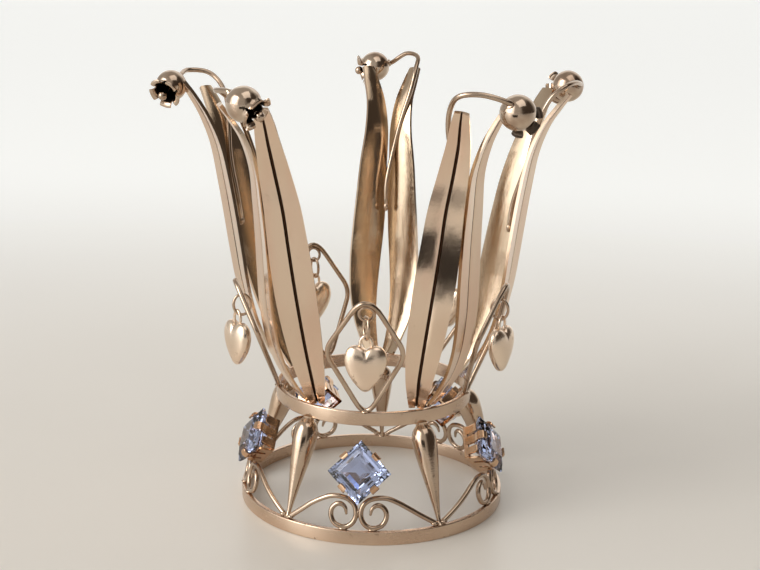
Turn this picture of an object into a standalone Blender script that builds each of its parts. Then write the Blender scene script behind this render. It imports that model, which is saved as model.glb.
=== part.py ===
"""Bridal crown: two rings, five struts, five stone bays, five leaf pairs with bell stems."""
import math
import bpy
import bmesh
from mathutils import Vector

# Driving sizes in millimetres; the crown axis is the z axis until the last step.
MM = 0.001
BASE_R = 32.7
BASE_WALL = 1.3
BASE_H = 3.3
UPPER_R = 24.1
UPPER_WALL = 1.1
UPPER_Z = 26.0
UPPER_H = 3.35
GAP = 0.3
BAYS = 5
WIRE = 0.6

# Turned drop between the rings: share of the length from the foot, radius. The feet and
# tops of the two front drops stand a little off their even places.
STRUT_PROFILE = ((0.0, 0.5), (0.16, 0.75), (0.35, 1.45), (0.54, 2.2), (0.7, 2.75),
                 (0.82, 2.9), (0.93, 2.55), (1.0, 1.7))
STRUT_FOOT_R = 31.9
STRUT_TOP_R = 23.4
STRUT_FOOT_AZ = (35.0, 108.0, 180.0, 252.0, 326.7)
STRUT_TOP_AZ = (33.6, 108.0, 180.0, 252.0, 324.8)

# Scroll wire of one bay side: azimuth from the bay middle in degrees, height.
SCROLL_PATH = ((33.4, 4.2), (30.0, 5.2), (26.0, 6.6), (21.5, 8.2), (17.1, 9.6), (12.8, 10.6),
               (8.9, 10.8), (5.0, 10.4), (2.3, 9.3), (0.75, 7.5), (1.3, 5.5), (3.4, 4.35),
               (7.2, 4.2), (10.4, 4.9), (11.9, 6.4), (11.2, 8.3), (8.6, 9.1), (5.8, 8.3), (5.2, 7.0))
SCROLL_R = 31.8
SCROLL_TAPER = 0.2
SCROLL_AZ = (-0.7, 72.6, 144.0, 216.0, 288.0)
SCROLL_LEG_RIGHT = (33.0, 32.9, 33.4, 33.4, 36.0)
SCROLL_LEG_LEFT = (30.2, 35.1, 33.4, 33.4, 33.4)

# Stone bay: middle of the stone, lean from upright, half side of the square.
STONE_R = 30.6
STONE_Z = 17.1
STONE_LEAN = 24.5
STONE_HALF = 5.2
STONE_STEPS = ((-3.6, 0.15), (-1.9, 0.52), (-0.25, 1.0), (0.15, 1.0), (0.8, 0.8), (1.3, 0.6))
STONE_TURN = (0.0, 2.2, 0.0, 0.0, 0.0)

# One leaf: height, distance from the axis, distance from the pair's middle plane, width.
LEAF_Z = (29.7, 32.7, 37.9, 44.6, 52.8, 61.0, 69.3, 77.6, 85.8, 92.4, 97.1, 100.0)
LEAF_OUT = (23.2, 25.2, 28.1, 30.7, 32.7, 34.1, 35.4, 36.8, 38.7, 41.1, 43.7, 45.5)
LEAF_SIDE = (2.3, 3.45, 4.8, 5.5, 5.4, 4.9, 4.45, 4.1, 3.55, 4.0, 5.4, 6.4)
LEAF_WIDTH = (3.5, 4.66, 6.33, 7.83, 8.91, 9.26, 8.9, 8.1, 6.85, 5.45, 4.3, 3.1)
LEAF_SHEET = 0.8
LEAF_VEE = 0.5
LEAF_TURN = (30.0, 39.0)

# Hand-set differences of the five pairs as seen: turn about the axis, outward lean and
# sideways lean per unit of height, twist of the pair about its own middle, right tip drawn
# inward, left and right tips stretched upward.
PAIR_AZ = (36.0, 111.8, 180.8, 253.4, 324.6)
PAIR_LEAN = (-0.078, 0.004, 0.021, 0.048, -0.013)
PAIR_SIDE = (0.029, -0.007, 0.0, 0.023, -0.013)
PAIR_TWIST = (-6.4, -6.2, 0.0, 12.0, 5.1)
TIP_IN = (1.7, 0.0, 0.2, 1.9, 0.0)
LIFT_LEFT = (0.0, 0.0, 2.2, -1.4, 0.0)
LIFT_RIGHT = (0.0, 0.0, 2.2, 0.8, 0.0)

# Stem of a pair: distance from the axis, sideways, height; the bell middle comes last.
STEM_PATH = ((35.15, 0.05, 73.4), (36.3, -1.3, 82.0), (37.0, -3.0, 89.5), (39.2, -5.6, 96.4),
             (41.6, -6.7, 101.2), (45.2, -6.9, 103.9), (49.0, -3.7, 104.4))
HOOK_OUT = (0.0, -0.7, 0.0, 0.0, 0.0)
HOOK_SIDE = (0.5, 0.0, 0.0, 0.0, 0.0)
HOOK_UP = (0.1, -1.3, 2.1, -1.1, -0.4)
BELL_MIDDLE = (50.0, 5.2, 101.4)
BELL_OUT = (0.0, 0.6, 0.3, -1.1, 0.0)
BELL_UP = (-0.8, 0.0, 1.2, -1.2, 0.5)
BELL_FACE = (112.0, 104.0, 104.0, 87.0, 102.0)
BELL_DIP = (31.0, 11.0, 14.0, 29.0, 30.0)
BELL_ROLL = (50.0, 48.0, 46.0, 24.0, 39.0)
BELL_R = (3.95, 3.95, 4.0, 3.8, 3.85)
BELL_WALL = 0.45
PISTIL_R = 1.15

# Lozenge of a bay: apex, side corner and foot as distance from the axis, sideways, height.
LOZENGE_AZ = (0.5, 74.5, 146.4, 216.0, 286.9)
APEX_OUT = (33.4, 33.9, 33.4, 33.4, 35.5)
APEX_Z = (60.6, 60.2, 60.6, 60.6, 58.9)
SIDE_HALF = 9.0
SIDE_Z = 45.2
FOOT_OUT = 23.1
FOOT_Z = 28.1
ROUNDING = (5.2, 3.2, 7.2, 3.2)
EYE_R = 1.75
EYE_WIRE = 0.36
LINK_W = 2.04
LINK_H = 2.6
LINK_WIRE = 0.35
LINK_TURN = (20.0, 0.0, 0.0, 0.0, 0.0)

# Right half of the heart from the notch round to the point, its thickness and how each
# heart hangs: down, out, sideways and turned about the vertical.
HEART_HALF = ((0.0, 4.45), (2.2, 5.3), (4.25, 4.2), (4.85, 2.1), (4.1, -0.9), (2.2, -3.9), (0.0, -5.6))
HEART_THICK = 2.0
HEART_DOWN = (8.4, 9.1, 8.4, 8.4, 8.5)
HEART_OUT = (0.0, 0.7, 0.0, 0.0, 1.1)
HEART_SIDE = (0.4, 0.0, 0.0, 0.0, 0.0)
HEART_TURN = (0.0, -14.0, 0.0, 0.0, 26.0)


def polar(az, out, side, z):
    """Point at azimuth az (0 in front, growing to the right), out from the axis, moved sideways."""
    a = math.radians(az)
    x = out * math.sin(a) + side * math.cos(a)
    y = -out * math.cos(a) + side * math.sin(a)
    return Vector((x, y, z))


def spline(points, count):
    """Smooth curve of count points through the given points."""
    pts = [Vector(p) for p in points]
    pts = [pts[0] * 2 - pts[1]] + pts + [pts[-1] * 2 - pts[-2]]
    spans = len(pts) - 3
    out = []
    for i in range(count):
        u = i * spans / (count - 1)
        k = min(int(u), spans - 1)
        t = u - k
        a, b, c, d = pts[k:k + 4]
        out.append(0.5 * (2 * b + (c - a) * t + (2 * a - 5 * b + 4 * c - d) * t * t
                          + (3 * b - a - 3 * c + d) * t ** 3))
    return out


def make_object(name, bm, mat, smooth=True):
    """Object in metres from a bmesh in millimetres, normals outward."""
    bmesh.ops.recalc_face_normals(bm, faces=bm.faces[:])
    bmesh.ops.scale(bm, vec=(MM, MM, MM), verts=bm.verts[:])
    mesh = bpy.data.meshes.new(name)
    bm.to_mesh(mesh)
    bm.free()
    if smooth:
        for poly in mesh.polygons:
            poly.use_smooth = True
    mesh.materials.append(mat)
    obj = bpy.data.objects.new(name, mesh)
    bpy.context.scene.collection.objects.link(obj)
    return obj


def loft(bm, rings, closed=False):
    """Skin closed sections one after another, with end faces unless the row closes on itself."""
    rows = [[bm.verts.new(p) for p in ring] for ring in rings]
    n = len(rows[0])
    pairs = list(zip(rows, rows[1:]))
    if closed:
        pairs.append((rows[-1], rows[0]))
    for a, b in pairs:
        for i in range(n):
            j = (i + 1) % n
            bm.faces.new((a[i], a[j], b[j], b[i]))
    if not closed:
        bm.faces.new(rows[0][::-1])
        bm.faces.new(rows[-1])
    return rows


def tube_rings(path, radii, sides, closed=False, start=None):
    """Round sections along a path, carried along without twisting."""
    n = len(path)
    rings = []
    normal = start
    for i, p in enumerate(path):
        if closed:
            d = path[(i + 1) % n] - path[i - 1]
        else:
            d = path[min(i + 1, n - 1)] - path[max(i - 1, 0)]
        d.normalize()
        if normal is None:
            normal = d.orthogonal()
        normal = (normal - d * normal.dot(d)).normalized()
        across = d.cross(normal)
        r = radii[i] if hasattr(radii, "__len__") else radii
        ring = []
        for k in range(sides):
            t = 2 * math.pi * (k + 0.5) / sides
            ring.append(p + normal * (r * math.cos(t)) + across * (r * math.sin(t)))
        rings.append(ring)
    return rings


def band(name, radius, wall, z, height, segments, mat):
    """Upright ring band of rectangular section."""
    rings = []
    for i in range(segments):
        az = 360.0 * i / segments
        rings.append([polar(az, radius - wall, 0, z), polar(az, radius, 0, z),
                      polar(az, radius, 0, z + height), polar(az, radius - wall, 0, z + height)])
    bm = bmesh.new()
    loft(bm, rings, closed=True)
    return make_object(name, bm, mat)


def strut(name, k, mat):
    """Turned drop standing between the rings, leaning inward."""
    foot = polar(STRUT_FOOT_AZ[k], STRUT_FOOT_R, 0, BASE_H + GAP)
    top = polar(STRUT_TOP_AZ[k], STRUT_TOP_R, 0, UPPER_Z - GAP)
    side = polar(STRUT_FOOT_AZ[k], 0, 1, 0)
    out = polar(STRUT_FOOT_AZ[k], 1, 0, 0)
    rings = []
    for share, r in STRUT_PROFILE:
        p = foot.lerp(top, share)
        rings.append([p + side * (r * math.cos(t)) + out * (r * math.sin(t))
                      for t in (2 * math.pi * i / 8 for i in range(8))])
    bm = bmesh.new()
    loft(bm, rings)
    return make_object(name, bm, mat)


def scroll_side(az, sign, leg, sides, count):
    """One coiled wire of a bay as tube sections on the tapering wall."""
    path = []
    for p in spline([(a, z, 0) for a, z in SCROLL_PATH], count):
        reach = SCROLL_R - SCROLL_TAPER * (p.y - BASE_H)
        turn = p.x + (leg - SCROLL_PATH[0][0]) * max(0.0, (p.x - 21.5) / 11.9)
        path.append(polar(az + sign * turn, reach, 0, max(p.y, 4.2)))
    return tube_rings(path, WIRE, sides, start=polar(az + sign * 34, 1, 0, 0))


def scroll_pair(name, k, mat):
    """Two scrolls soldered together in the middle of a bay."""
    halves = []
    for sign, leg, tail, count in ((1, SCROLL_LEG_RIGHT[k], "", 20), (-1, SCROLL_LEG_LEFT[k], "_cut", 19)):
        bm = bmesh.new()
        loft(bm, scroll_side(SCROLL_AZ[k], sign, leg, 5, count))
        halves.append(make_object(name + tail, bm, mat))
    return join(halves[0], halves[1])


def join(body, extra):
    """Boolean union of a second solid into the first."""
    mod = body.modifiers.new("join", "BOOLEAN")
    mod.operation = "UNION"
    mod.solver = "EXACT"
    mod.object = extra
    extra.hide_render = True
    extra.display_type = "WIRE"
    body.modifiers.new("facets", "TRIANGULATE")
    return body


def stone_frame(az):
    """Middle, sideways, up and outward directions of a leaning stone."""
    lean = math.radians(STONE_LEAN)
    out = polar(az, 1, 0, 0)
    side = polar(az, 0, 1, 0)
    up = Vector((0, 0, math.cos(lean))) - out * math.sin(lean)
    normal = out * math.cos(lean) + Vector((0, 0, math.sin(lean)))
    return polar(az, STONE_R, 0, STONE_Z), side, up, normal


def square_ring(frame, half, level, cuts=0.0):
    """Corners of a square standing on its corner; with cuts, two more points in every side."""
    mid, side, up, normal = frame
    reach = half * math.sqrt(2)
    corners = [mid + side * reach, mid + up * reach, mid - side * reach, mid - up * reach]
    ring = []
    for a, b in zip(corners, corners[1:] + corners[:1]):
        ring.append(a + normal * level)
        if cuts:
            ring.append(a.lerp(b, 0.5 - cuts) + normal * level)
            ring.append(a.lerp(b, 0.5 + cuts) + normal * level)
    return ring


def stone(name, az, mat):
    """Square step-cut stone set on its corner."""
    frame = stone_frame(az)
    bm = bmesh.new()
    loft(bm, [square_ring(frame, STONE_HALF * s, lv) for lv, s in STONE_STEPS])
    return make_object(name, bm, mat, smooth=False)


def setting(name, az, mat):
    """Square box behind the stone with one claw bent over the middle of every side."""
    frame = stone_frame(az)
    wall = 0.6
    rows = [(4.2, -4.9), (4.85, -1.3), (4.85 - wall, -1.3), (3.5, -4.9)]
    cut = 0.13
    rings = [square_ring(frame, h, lv, cut) for h, lv in rows]
    bm = bmesh.new()
    loft(bm, rings, closed=True)
    bm.faces.ensure_lookup_table()
    bm.normal_update()
    mid = frame[0]
    normal = frame[3]
    rim = [f for f in bm.faces if abs((f.calc_center_median() - mid).dot(normal) + 1.3) < 0.02]
    claws = []
    for f in rim:
        spread = max((v.co - mid).length for v in f.verts)
        if spread < 5.2:
            claws.append(f)
    for f in claws:
        out = f.calc_center_median() - mid
        out = (out - normal * out.dot(normal)).normalized()
        for shift, rise, share in ((1.45, 0.9, 1.0), (-0.5, 1.3, 0.8)):
            res = bmesh.ops.extrude_discrete_faces(bm, faces=[f])
            f = res["faces"][0]
            c = f.calc_center_median()
            for v in f.verts:
                v.co = c + (v.co - c) * share + out * shift + normal * rise
    return make_object(name, bm, mat, smooth=False)


def leaf(name, k, sign, mat):
    """Folded sheet leaf with a vee down the outer face; sign gives its side of the pair."""
    points = []
    for z, r, s in zip(LEAF_Z, LEAF_OUT, LEAF_SIDE):
        rise = z - LEAF_Z[0]
        r = r + PAIR_LEAN[k] * rise
        if sign > 0:
            r -= TIP_IN[k] * max(0.0, (z - 92.0) / 8.0)
        s = s * sign + PAIR_SIDE[k] * rise
        lift = (LIFT_RIGHT[k] if sign > 0 else LIFT_LEFT[k]) * max(0.0, (z - 60.0) / 40.0) ** 2
        points.append(polar(PAIR_AZ[k], r, s, z + lift))
    rings = []
    n = len(points)
    for i, p in enumerate(points):
        d = (points[min(i + 1, n - 1)] - points[max(i - 1, 0)]).normalized()
        share = (LEAF_Z[i] - LEAF_Z[0]) / (LEAF_Z[-1] - LEAF_Z[0])
        turn = (LEAF_TURN[0] + (LEAF_TURN[1] - LEAF_TURN[0]) * share) * sign + PAIR_TWIST[k]
        across = polar(PAIR_AZ[k] + turn, 0, 1, 0)
        across = (across - d * across.dot(d)).normalized()
        face = across.cross(d)
        if face.dot(polar(PAIR_AZ[k], 1, 0, 0)) < 0:
            face = -face
        h = LEAF_WIDTH[i] / 2
        t = face * LEAF_SHEET
        vee = face * LEAF_VEE
        rings.append([p - across * h, p - vee, p + across * h,
                      p + across * h - t, p - vee - t, p - across * h - t])
    bm = bmesh.new()
    loft(bm, rings)
    return make_object(name, bm, mat, smooth=False)


def bell_frame(k):
    """Middle of a bell and the direction it faces."""
    r, s, z = BELL_MIDDLE
    z += BELL_UP[k]
    rise = z - LEAF_Z[0]
    r += BELL_OUT[k] + PAIR_LEAN[k] * rise
    mid = polar(PAIR_AZ[k], r, s + PAIR_SIDE[k] * rise, z)
    face = polar(PAIR_AZ[k] + BELL_FACE[k], 1, 0, 0)
    dip = math.radians(BELL_DIP[k])
    face = face * math.cos(dip) - Vector((0, 0, math.sin(dip)))
    return mid, face.normalized()


def stem(name, k, mat):
    """Wire from between the leaves, over their tips and through the bell to the ball pistil."""
    mid, face = bell_frame(k)
    points = []
    for r, s, z in STEM_PATH:
        bend = min(1.0, max(0.0, (z - 88.0) / 14.0))
        z += HOOK_UP[k] * bend
        rise = z - LEAF_Z[0]
        points.append(polar(PAIR_AZ[k], r + PAIR_LEAN[k] * rise + HOOK_OUT[k] * bend,
                            s + PAIR_SIDE[k] * rise + HOOK_SIDE[k] * bend, z))
    points.append(mid - face * (BELL_R[k] + 1.0))
    points.append(mid + face * 1.0)
    path = spline(points, 14)
    radii = [WIRE] * len(path)
    path += [mid + face * 1.9, mid + face * 3.3, mid + face * 3.8, mid + face * 4.6, mid + face * 5.4,
             mid + face * 5.7]
    radii += [WIRE, 0.55, 0.85, PISTIL_R, 0.85, 0.35]
    bm = bmesh.new()
    loft(bm, tube_rings(path, radii, 5))
    return make_object(name, bm, mat)


def bell(name, k, mat):
    """Hollow round bell with a hole for the stem and five blunt petals curled outward."""
    mid, face = bell_frame(k)
    up = Vector((0, 0, 1))
    across = (up - face * face.z).normalized()
    other = face.cross(across)
    outer = []
    for deg in (19, 50, 85, 120):
        a = math.radians(deg)
        outer.append((-BELL_R[k] * math.cos(a), BELL_R[k] * math.sin(a)))
    inner = []
    for deg in (118, 22):
        a = math.radians(deg)
        r = BELL_R[k] - BELL_WALL
        inner.append((-r * math.cos(a), r * math.sin(a)))
    rows = [(p, p) for p in outer]
    rows.append(((2.5, 2.7), (4.1, 4.05)))
    rows.append(((2.15, 2.25), (3.7, 3.6)))
    rows += [(p, p) for p in inner]
    rings = []
    for notch, petal in rows:
        ring = []
        for c in range(15):
            t = math.radians(BELL_ROLL[k] + 24.0 * (c - 1.5))
            along, out = notch if c % 3 == 0 else petal
            ring.append(mid + face * along + across * (out * math.cos(t)) + other * (out * math.sin(t)))
        rings.append(ring)
    bm = bmesh.new()
    loft(bm, rings, closed=True)
    return make_object(name, bm, mat)


def lozenge_path(k):
    """Rounded rhombus of a bay, the middle of its eye ring and its outward slope."""
    slope = (APEX_OUT[k] - FOOT_OUT) / (APEX_Z[k] - FOOT_Z)
    side_out = FOOT_OUT + slope * (SIDE_Z - FOOT_Z)
    corners = [Vector((FOOT_OUT, 0, FOOT_Z)), Vector((side_out, SIDE_HALF, SIDE_Z)),
               Vector((APEX_OUT[k], 0, APEX_Z[k])), Vector((side_out, -SIDE_HALF, SIDE_Z))]
    path = []
    for i, c in enumerate(corners):
        a = c + (corners[i - 1] - c).normalized() * ROUNDING[i]
        b = c + (corners[(i + 1) % 4] - c).normalized() * ROUNDING[i]
        path += [a, (a + b + 2 * c) / 4, b]
    top = max(p.z for p in path)
    eye_z = top - 0.55 - EYE_R
    return path, eye_z, slope


def lozenge(name, k, mat):
    """Bent wire rhombus with rounded corners and the eye ring under its apex."""
    turn = LOZENGE_AZ[k]
    path, eye_z, slope = lozenge_path(k)
    path = [polar(turn, p.x, p.y, p.z) for p in path]
    bm = bmesh.new()
    loft(bm, tube_rings(path, WIRE, 5, closed=True, start=polar(turn, 1, 0, 0)), closed=True)
    frame = make_object(name, bm, mat)
    ring = []
    for i in range(8):
        t = 2 * math.pi * (i + 0.3) / 8
        z = eye_z + EYE_R * math.cos(t)
        ring.append(polar(turn, APEX_OUT[k] + slope * (z - APEX_Z[k]), EYE_R * math.sin(t), z))
    bm = bmesh.new()
    loft(bm, tube_rings(ring, EYE_WIRE, 4, closed=True, start=polar(turn, 1, 0, 0)), closed=True)
    eye = make_object(name + "_cut", bm, mat)
    return join(frame, eye)


def hang(k):
    """Distance of the hanging pieces from the axis and the top of the link's wire ring."""
    _, eye_z, slope = lozenge_path(k)
    out = APEX_OUT[k] + slope * (eye_z - EYE_R - APEX_Z[k])
    return out, eye_z - EYE_R + EYE_WIRE + GAP + 0.1 + LINK_WIRE


def link(name, k, mat):
    """Oval ring standing about edge-on to the eye, hanging from it."""
    out, top = hang(k)
    turn = math.radians(LINK_TURN[k])
    path = []
    for i in range(10):
        t = 2 * math.pi * i / 10
        reach = LINK_W * math.sin(t)
        path.append(polar(LOZENGE_AZ[k], out + reach * math.cos(turn), reach * math.sin(turn),
                          top - LINK_H + LINK_H * math.cos(t)))
    flat = polar(LOZENGE_AZ[k], -math.sin(turn), math.cos(turn), 0)
    bm = bmesh.new()
    loft(bm, tube_rings(path, LINK_WIRE, 4, closed=True, start=flat), closed=True)
    return make_object(name, bm, mat)


def heart(name, k, mat):
    """Puffed heart with its loop through the lower bend of the link."""
    out, top = hang(k)
    low = top - 2 * LINK_H
    mid_z = low + LINK_WIRE + GAP + 0.1 + EYE_WIRE - HEART_DOWN[k]
    turn = math.radians(HEART_TURN[k])

    def place(across, depth, z):
        """Point of the heart: across its face, toward its front, height."""
        return polar(LOZENGE_AZ[k],
                     out + HEART_OUT[k] + depth * math.cos(turn) - across * math.sin(turn),
                     HEART_SIDE[k] + depth * math.sin(turn) + across * math.cos(turn), z)

    outline = list(HEART_HALF) + [(-x, y) for x, y in HEART_HALF[-2:0:-1]]
    rows = []
    for depth, share in ((-1.0, 0.42), (-0.62, 0.8), (0.0, 1.0), (0.62, 0.8), (1.0, 0.42)):
        rows.append([place(x * share, HEART_THICK * depth, mid_z + y * share) for x, y in outline])
    bm = bmesh.new()
    loft(bm, rows)
    body = make_object(name, bm, mat)
    loop_r = 1.35
    past = min(0.95, (HEART_OUT[k] + 3 * HEART_SIDE[k] + 0.75 * (HEART_OUT[k] > 0)) / LINK_W)
    bend = top - LINK_H - LINK_H * math.sqrt(1 - past * past)
    loop_top = bend + LINK_WIRE + GAP + 0.2 + EYE_WIRE
    tall = (loop_top - mid_z - 3.6) / 2
    path = []
    for i in range(7):
        t = 2 * math.pi * (i + 0.2) / 7
        path.append(place(loop_r * math.sin(t), 0, loop_top - tall + tall * math.cos(t)))
    bm = bmesh.new()
    loft(bm, tube_rings(path, EYE_WIRE, 4, closed=True, start=place(0, 1, 0) - place(0, 0, 0)),
         closed=True)
    loop = make_object(name + "_cut", bm, mat)
    return join(body, loop)


def material(name, color, metallic, roughness, alpha=1.0):
    """Plain Principled material."""
    mat = bpy.data.materials.new(name)
    mat.use_nodes = True
    node = mat.node_tree.nodes["Principled BSDF"]
    node.inputs["Base Color"].default_value = (*color, 1.0)
    node.inputs["Metallic"].default_value = metallic
    node.inputs["Roughness"].default_value = roughness
    node.inputs["Alpha"].default_value = alpha
    return mat


for old in list(bpy.data.objects):
    bpy.data.objects.remove(old, do_unlink=True)

gilt = material("gilt_silver", (0.72, 0.55, 0.38), 1.0, 0.28)
bright = material("gilt_bright", (0.78, 0.58, 0.36), 1.0, 0.12)
blue = material("blue_stone", (0.42, 0.53, 0.85), 0.0, 0.03, 0.45)

band("base_ring", BASE_R, BASE_WALL, 0.0, BASE_H, 44, gilt)
band("upper_ring", UPPER_R, UPPER_WALL, UPPER_Z, UPPER_H, 36, gilt)
for k in range(BAYS):
    bay_az = 72.0 * k + STONE_TURN[k]
    strut("strut_%d" % (k + 1), k, bright)
    scroll_pair("scrolls_%d" % (k + 1), k, gilt)
    setting("setting_%d" % (k + 1), bay_az, bright)
    stone("stone_%d" % (k + 1), bay_az, blue)
    leaf("leaf_%da" % (k + 1), k, -1, gilt)
    leaf("leaf_%db" % (k + 1), k, 1, gilt)
    stem("stem_%d" % (k + 1), k, gilt)
    bell("bell_%d" % (k + 1), k, bright)
    lozenge("lozenge_%d" % (k + 1), k, gilt)
    link("link_%d" % (k + 1), k, bright)
    heart("heart_%d" % (k + 1), k, bright)

# Stand the crown with the middle of its footprint box over the origin.
solids = [o for o in bpy.data.objects if o.type == "MESH" and not o.hide_render]
xs = [v.co.x for o in solids for v in o.data.vertices]
ys = [v.co.y for o in solids for v in o.data.vertices]
middle = bpy.data.objects.new("crown", None)
bpy.context.scene.collection.objects.link(middle)
middle.location = (-(min(xs) + max(xs)) / 2, -(min(ys) + max(ys)) / 2, 0.0)
for o in list(bpy.data.objects):
    if o.type == "MESH":
        o.parent = middle
bpy.context.view_layer.update()
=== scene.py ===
"""Bridal crown of gilt silver: the finished pieces, their materials, floor, light and camera."""
import math
import bmesh
import bpy
from mathutils import Matrix, Vector


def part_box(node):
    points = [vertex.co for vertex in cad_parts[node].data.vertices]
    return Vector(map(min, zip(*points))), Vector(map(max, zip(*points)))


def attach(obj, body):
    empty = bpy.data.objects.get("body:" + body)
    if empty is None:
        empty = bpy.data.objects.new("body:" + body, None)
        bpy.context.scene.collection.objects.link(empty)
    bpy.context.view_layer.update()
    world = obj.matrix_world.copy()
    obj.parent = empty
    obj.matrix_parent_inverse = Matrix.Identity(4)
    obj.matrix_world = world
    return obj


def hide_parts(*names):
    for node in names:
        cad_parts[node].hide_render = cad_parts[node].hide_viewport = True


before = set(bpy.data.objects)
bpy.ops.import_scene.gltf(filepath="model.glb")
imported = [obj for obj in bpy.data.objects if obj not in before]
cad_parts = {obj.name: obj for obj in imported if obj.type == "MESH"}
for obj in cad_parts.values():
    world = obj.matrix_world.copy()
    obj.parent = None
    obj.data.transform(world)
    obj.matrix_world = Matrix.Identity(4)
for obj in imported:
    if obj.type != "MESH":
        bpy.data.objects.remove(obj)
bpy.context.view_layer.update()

# Base ring: a flat strip of gilt silver, 3.3 mm high and 1.3 mm thick, bent round and soldered end
# to end. The crown stands on its lower edge. Brushed satin, with softly broken edges. Pieces are
# drawn in millimetres and degrees, with azimuths from the front towards the right of the view.
ring_low, ring_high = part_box("base_ring")
AXIS = Vector(((ring_low.x + ring_high.x) / 2, (ring_low.y + ring_high.y) / 2, 0.0))
MM = 0.001
RING_R, RING_WALL, RING_H = 32.7, 1.3, 3.3
STRIP_EDGE = 0.22
RING_TONE, RING_ROSY = (0.70, 0.535, 0.405), (0.64, 0.47, 0.35)
RUBBED_TONE = (0.22, 0.14, 0.085)
CLOUDS, DENTS, RUBS, SPECKS, MARKS = 70.0, 160.0, 420.0, 900.0, 2600.0


def polar(az, out, side, z):
    """Point at an azimuth: its distance out from the crown's axis, to the side, and up."""
    a = math.radians(az)
    return Vector((out * math.sin(a) + side * math.cos(a), side * math.sin(a) - out * math.cos(a), z))


class Value:
    """A number or vector inside a material: sums and products of it add the nodes."""

    def __init__(self, tree, socket):
        self.tree, self.socket = tree, socket

    def node(self, kind, inputs=(), out=0, **settings):
        """Adds a node: its settings, then the values or links of its sockets."""
        added = self.tree.nodes.new("ShaderNode" + kind)
        for key, setting in settings.items():
            setattr(added, key, setting)
        for key, value in dict(inputs).items():
            if isinstance(value, Value):
                self.tree.links.new(value.socket, added.inputs[key])
            else:
                added.inputs[key].default_value = value
        return Value(self.tree, added.outputs[out])

    def math(self, operation, a, b=0.0):
        return self.node("Math", {0: a, 1: b}, operation=operation)

    def __add__(self, other):
        return self.math("ADD", self, other)

    def __sub__(self, other):
        return self.math("SUBTRACT", self, other)

    def __rsub__(self, other):
        return self.math("SUBTRACT", other, self)

    def __mul__(self, other):
        return self.math("MULTIPLY", self, other)

    __radd__, __rmul__ = __add__, __mul__

    def between(self, lowest, highest):
        """0 up to lowest, 1 from highest on, smooth in between."""
        inputs = {0: self, 1: lowest, 2: highest, 3: 0.0, 4: 1.0}
        return self.node("MapRange", inputs, interpolation_type="SMOOTHSTEP")

    def blend(self, a, b):
        """Colour a where this is 0, colour b where it is 1."""
        a, b = (c if isinstance(c, Value) else (*c, 1.0) for c in (a, b))
        return self.node("Mix", {0: self, 6: a, 7: b}, out=2, data_type="RGBA")

    def stretched(self, x, y, z):
        return self.node("VectorMath", {0: self, 1: (x, y, z)}, operation="MULTIPLY")

    def noise(self, scale, detail=2.0, rough=0.5):
        """Cloudy pattern around 0.5, with this many clouds to a metre, or to a unit of the coordinates."""
        inputs = {"Vector": self, "Scale": scale, "Detail": detail, "Roughness": rough}
        return self.node("TexNoise", inputs)

    def relief(self, strength, depth, over=None):
        """Bumps where this is high, their depth in metres, laid over a finer relief."""
        inputs = {"Strength": strength, "Distance": depth, "Height": self}
        if over is not None:
            inputs["Normal"] = over
        return self.node("Bump", inputs)


def start_material(name, **plain):
    """New material with its plain shader values; gives its shader and the coordinates too."""
    mat = bpy.data.materials.new(name)
    mat.use_nodes = True
    shader = mat.node_tree.nodes["Principled BSDF"]
    for key, value in plain.items():
        shader.inputs[key.replace("_", " ")].default_value = value
    spot = Value(mat.node_tree, None).node("TexCoord", out=3)
    return mat, shader, spot


def feed(shader, socket, value):
    """Links a value to a socket of the shader."""
    value.tree.links.new(value.socket, shader.inputs[socket])


def gilt(name, tone, rosy, rough, brush, dents=0.3, stretch=(1.0, 1.0, 14.0)):
    """Gilt silver with rosy clouds, rubbed places, fine brush marks and the soft dents of handwork."""
    mat, shader, spot = start_material(name, Metallic=1.0)
    cloud = spot.noise(CLOUDS, 3.0)
    speck = spot.noise(SPECKS)
    marks = spot.stretched(*stretch).noise(MARKS / max(stretch), 3.0, 0.7)
    rubbed = spot.noise(RUBS, 4.0, 0.7).between(0.6, 0.72)
    colour = cloud.between(0.35, 0.68).blend(tone, rosy)
    feed(shader, "Base Color", (rubbed * 0.55).blend(colour, RUBBED_TONE))
    polish = rough + (cloud - 0.5) * (rough * 0.5) + (marks - 0.5) * brush + (speck - 0.5) * 0.05
    feed(shader, "Roughness", polish + rubbed * 0.08)
    fine = (marks + speck).relief(0.12, 0.0001)
    feed(shader, "Normal", spot.noise(DENTS, 1.0).relief(dents, 0.0004, over=fine))
    return mat


def put(name, bm, mat, nodes, angle=40.0):
    """Finished piece at its place on the crown, standing for CAD nodes; edges past the angle are sharp."""
    bmesh.ops.transform(bm, matrix=Matrix.Translation(AXIS) @ Matrix.Scale(MM, 4), verts=bm.verts[:])
    mesh = bpy.data.meshes.new(name)
    bm.to_mesh(mesh)
    bm.free()
    mesh.shade_smooth()
    mesh.set_sharp_from_angle(angle=math.radians(angle))
    mesh.materials.append(mat)
    piece = bpy.data.objects.new(name, mesh)
    bpy.context.scene.collection.objects.link(piece)
    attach(piece, "root")
    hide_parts(*nodes)


def spin_round(bm, steps):
    """Spins an outline once about the z axis and closes its poles."""
    bmesh.ops.spin(bm, geom=bm.verts[:] + bm.edges[:], cent=(0, 0, 0), axis=(0, 0, 1), dvec=(0, 0, 0),
                   angle=2 * math.pi, steps=steps, use_merge=True)
    bmesh.ops.remove_doubles(bm, verts=bm.verts[:], dist=0.0005)
    bmesh.ops.recalc_face_normals(bm, faces=bm.faces[:])


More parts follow.
